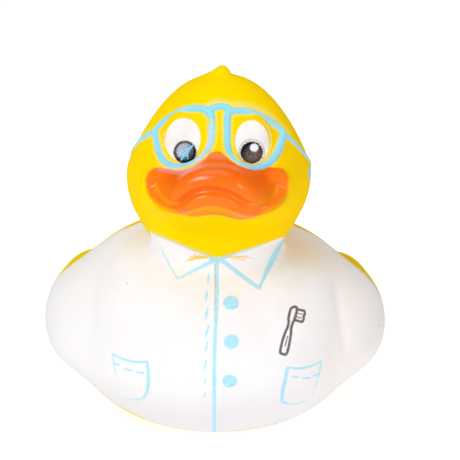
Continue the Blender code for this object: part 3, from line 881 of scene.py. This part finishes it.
    # eyes
    plain = colour
    scratch = n.ramp(n.noise(3.4, 3.0), 0.42, 0.6)
    colour = n.mix(n.math("MULTIPLY", n.inside(n.attr("f_halo"), 0.5, 0.0, fine, 2.0), 0.7), colour, srgb("f6efc4"))
    colour = n.mix(n.inside(n.attr("f_eye"), 0.45, 0.0, fine, 0.8), colour, srgb("efebe9"))
    for (cx, cy), left in zip(PUPILS, (True, False)):
        slant = n.math("ADD", px, n.math("MULTIPLY", py, 1.3))
        disc = n.oval(px, py, (cx, cy), (9.6, 9.6))
        edge_line = n.oval(px, py, (cx, cy + 0.6), (11.2, 11.2))
        if left:
            colour = n.mix(n.math("MULTIPLY", n.inside(n.oval(px, py, (cx + 0.5, cy + 1.0), (12.6, 12.4)), 0.5, 0.0, scratch, 2.4), 0.5), colour, srgb("d9cdb4"))
            colour = n.mix(n.inside(edge_line, 0.45, 0.0, scratch, 1.0), colour, srgb("2a2122"))
            colour = n.mix(n.math("MULTIPLY", n.ramp(n.math("ABSOLUTE", n.math("ADD", edge_line, 1.4)), 0.8, 0.1), n.math("MULTIPLY", scratch, n.ramp(slant, 388.0, 380.0))), colour, srgb("d6d4dc"))
            tone = n.mix(n.ramp(slant, 372.0, 394.0), srgb("b4b5cc"), srgb("4e4852"))
            tone = n.mix(n.math("MULTIPLY", scratch, n.ramp(slant, 366.0, 392.0, 0.2, 0.75)), tone, srgb("3a3236"))
            colour = n.mix(n.inside(disc, 0.5, 0.0, fine, 1.2), colour, tone)
            fleck = n.math("MULTIPLY", n.ramp(n.noise(2.6, 3.0), 0.5, 0.6), n.inside(n.oval(px, py, (cx - 2.0, cy + 0.5), (6.4, 6.2)), 1.6))
            colour = n.mix(n.math("MULTIPLY", fleck, 0.75), colour, srgb("e6e8f6"))
            colour = n.mix(n.math("MULTIPLY", n.ramp(n.math("ABSOLUTE", n.math("ADD", disc, -0.2)), 2.1, 0.6), n.ramp(slant, 380.0, 396.0, 0.7, 0.95)), colour, srgb("1a1416"))
            brown = n.math("MULTIPLY", n.ramp(n.math("ABSOLUTE", n.oval(px, py, (cx + 0.6, cy + 1.2), (11.6, 11.6))), 1.0, 0.2), n.ramp(slant, 388.0, 398.0, 0.0, 0.85))
            colour = n.mix(n.math("MULTIPLY", brown, scratch), colour, srgb("b9772e"))
        else:
            ring = n.ramp(n.math("ABSOLUTE", n.oval(px, py, (cx, cy + 0.6), (12.9, 13.1))), 0.8, 0.2)
            colour = n.mix(n.math("MULTIPLY", ring, n.ramp(scratch, 0.0, 1.0, 0.35, 0.9)), colour, srgb("b98a58"))
            colour = n.mix(n.inside(edge_line, 0.45, 0.0, scratch, 1.2), colour, srgb("1d1517"))
            rust = n.math("MULTIPLY", n.ramp(n.math("ABSOLUTE", n.math("ADD", edge_line, 1.2)), 0.9, 0.2), n.ramp(slant, 446.0, 458.0, 0.1, 0.9))
            colour = n.mix(n.math("MULTIPLY", rust, scratch), colour, srgb("a8682e"))
            tone = n.mix(n.ramp(slant, 436.0, 462.0), srgb("191417"), srgb("56402f"))
            speckle = n.ramp(n.noise(4.6, 2.0), 0.48, 0.6)
            tone = n.mix(n.math("MULTIPLY", n.math("MULTIPLY", speckle, 0.6), n.inside(n.oval(px, py, (cx + 0.5, cy + 1.5), (7.6, 7.4)), 3.0)), tone, srgb("a39a9e"))
            colour = n.mix(n.inside(disc, 0.5), colour, tone)
            light = n.inside(n.oval(px, py, (cx + 2.6, cy - 4.4), (4.2, 4.0)), 0.8)
            colour = n.mix(light, colour, srgb("e9ebf6"))
    colour = n.mix(n.inside(n.attr("f_smear"), 0.5, 0.0, fine, 1.6), colour, srgb("7fd2f2"))
    colour = n.mix(n.math("MULTIPLY", n.ramp(y, -12.0, -14.0), n.ramp(z, 50.0, 52.0)), plain, colour)

    # glasses
    colour = n.mix(n.math("MULTIPLY", n.inside(n.attr("f_haze"), 2.6, 0.0, broad, 2.0), 0.42), colour, srgb("cfe3a0"))
    pale = n.math("MULTIPLY", n.ramp(n.math("ABSOLUTE", n.math("SUBTRACT", n.attr("f_glass"), 1.8)), 1.6, 0.3), n.ramp(fine, 0.3, 0.8, 0.05, 0.4))
    colour = n.mix(n.math("MULTIPLY", pale, n.math("MULTIPLY", n.ramp(y, -14.0, -16.0), n.math("SUBTRACT", 1.0, orange))), colour, srgb("f4f0b0"))
    gap = n.inside(n.oval(px, py, (209.6, 121.0), (3.2, 1.6)), 0.8, 0.0, fine, 1.5)
    frame_paint = n.math("MULTIPLY", n.inside(n.attr("f_glass"), 0.6, 0.5, fine, 0.5), n.math("SUBTRACT", 1.0, gap))
    sky = n.mix(n.ramp(broad, 0.3, 0.7), srgb("86d4ee"), srgb("98dcf2"))
    faded = n.math("MULTIPLY", n.inside(n.oval(px, py, (208.0, 146.0), (14.0, 26.0)), 4.0), n.ramp(fine, 0.3, 0.7, 0.2, 0.75))
    sky = n.mix(faded, sky, srgb("cfe4ea"))
    frame_paint = n.math("MULTIPLY", frame_paint, n.ramp(px, 129.0, 141.0, 0.35, 1.0))
    blot = n.math("MULTIPLY", n.inside(n.oval(y, z, (-11.4, 64.0), (2.3, 1.5)), 0.25, 0.0, fine, 0.8), n.ramp(x, 14.0, 16.0))
    frame_paint = n.math("MAXIMUM", frame_paint, n.math("MULTIPLY", blot, 0.9))
    colour = n.mix(frame_paint, colour, sky)

    n.feed(n.shader.inputs["Base Color"], colour)
    rough = n.math("ADD", 0.44, n.math("MULTIPLY", coat, 0.08))
    rough = n.math("SUBTRACT", rough, n.math("MULTIPLY", orange, 0.06))
    n.feed(n.shader.inputs["Roughness"], n.math("ADD", rough, n.math("MULTIPLY", n.math("SUBTRACT", grain, 0.5), 0.05)))
    bump = n.tree.nodes.new("ShaderNodeBump")
    bump.inputs["Strength"].default_value = 0.12
    bump.inputs["Distance"].default_value = 0.00012
    n.feed(bump.inputs["Height"], n.math("ADD", n.noise(2.4, 3.0), n.math("MULTIPLY", n.noise(9.0, 2.0), 0.3)))
    n.feed(n.shader.inputs["Normal"], bump.outputs[0])
    n.shader.inputs["Subsurface Weight"].default_value = 0.10
    n.shader.inputs["Subsurface Radius"].default_value = (1.0, 0.55, 0.25)
    n.shader.inputs["Subsurface Scale"].default_value = 0.0016
    n.shader.inputs["IOR"].default_value = 1.45
    n.shader.inputs["Specular IOR Level"].default_value = 0.012
    n.feed(n.shader.inputs["Coat Weight"], n.math("MULTIPLY", n.math("SUBTRACT", orange, missed), 0.95, clamp=True))
    n.shader.inputs["Coat Roughness"].default_value = 0.26
    n.shader.inputs["Coat IOR"].default_value = 1.55
    return n.mat


mesh.materials.append(duck_material())
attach(duck, "root")
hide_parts("duck_shell")

plug = Nodes("squeaker_plastic")
speck = plug.noise(400.0, 2.0, plug.tree.nodes.new("ShaderNodeTexCoord").outputs["Object"])
plug.feed(plug.shader.inputs["Base Color"], plug.mix(plug.ramp(speck, 0.3, 0.7), srgb("f1efe8"), srgb("e7e4dc")))
plug.feed(plug.shader.inputs["Roughness"], plug.math("ADD", 0.32, plug.math("MULTIPLY", speck, 0.12)))
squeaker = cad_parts["squeaker"]
squeaker.data.materials.clear()
squeaker.data.materials.append(plug.mat)

# ------------------------------------------------------------------ studio
size = 3.0
floor_mesh = bpy.data.meshes.new("floor")
floor_mesh.from_pydata([(-size, -size, 0), (size, -size, 0), (size, size, 0), (-size, size, 0)], [], [(0, 1, 2, 3)])
floor = bpy.data.objects.new("floor", floor_mesh)
floor.location.z = -0.0002
bpy.context.scene.collection.objects.link(floor)
pale = Nodes("pale_floor")
pale.shader.inputs["Base Color"].default_value = (0.3, 0.3, 0.3, 1)
pale.shader.inputs["Roughness"].default_value = 0.9
pale.shader.inputs["Specular IOR Level"].default_value = 0.1
pale.shader.inputs["Emission Color"].default_value = (1, 1, 1, 1)
pale.shader.inputs["Emission Strength"].default_value = 0.88
floor_mesh.materials.append(pale.mat)
floor.visible_glossy = False

world = bpy.data.worlds.new("studio")
bpy.context.scene.world = world
world.use_nodes = True
world.node_tree.nodes["Background"].inputs[0].default_value = (1, 1, 1, 1)
world.node_tree.nodes["Background"].inputs[1].default_value = 0.45
world.cycles_visibility.glossy = False


def area(name, place, aim, watts, w, h):
    light = bpy.data.lights.new(name, "AREA")
    light.shape, light.size, light.size_y, light.energy = "RECTANGLE", w, h, watts
    ob = bpy.data.objects.new(name, light)
    ob.location = place
    from mathutils import Vector
    ob.rotation_mode = "QUATERNION"
    ob.rotation_quaternion = (Vector(aim) - Vector(place)).to_track_quat("-Z", "Y")
    bpy.context.scene.collection.objects.link(ob)


area("key", (-0.45, -0.75, 0.7), (0, 0, 0.045), 5.2, 0.4, 0.4)
area("fill", (0.7, -0.6, 0.35), (0, 0, 0.045), 1.5, 0.3, 0.3)
area("top", (0.0, 0.1, 1.0), (0, 0, 0.045), 2.0, 0.8, 0.8)

cam = bpy.data.cameras.new("camera")
cam.sensor_width = 36.0
cam.lens = 36.0 * REACH / (460 * SCALE)
cam.clip_start, cam.clip_end = 0.01, 50.0
camera = bpy.data.objects.new("camera", cam)
from mathutils import Vector
camera.location = tuple((EYE - ORIGIN) * MM)
camera.rotation_mode = "QUATERNION"
camera.rotation_quaternion = Vector(tuple(AHEAD)).to_track_quat("-Z", "Y")
bpy.context.scene.collection.objects.link(camera)
bpy.context.scene.camera = camera

bpy.context.scene.view_settings.view_transform = "Standard"
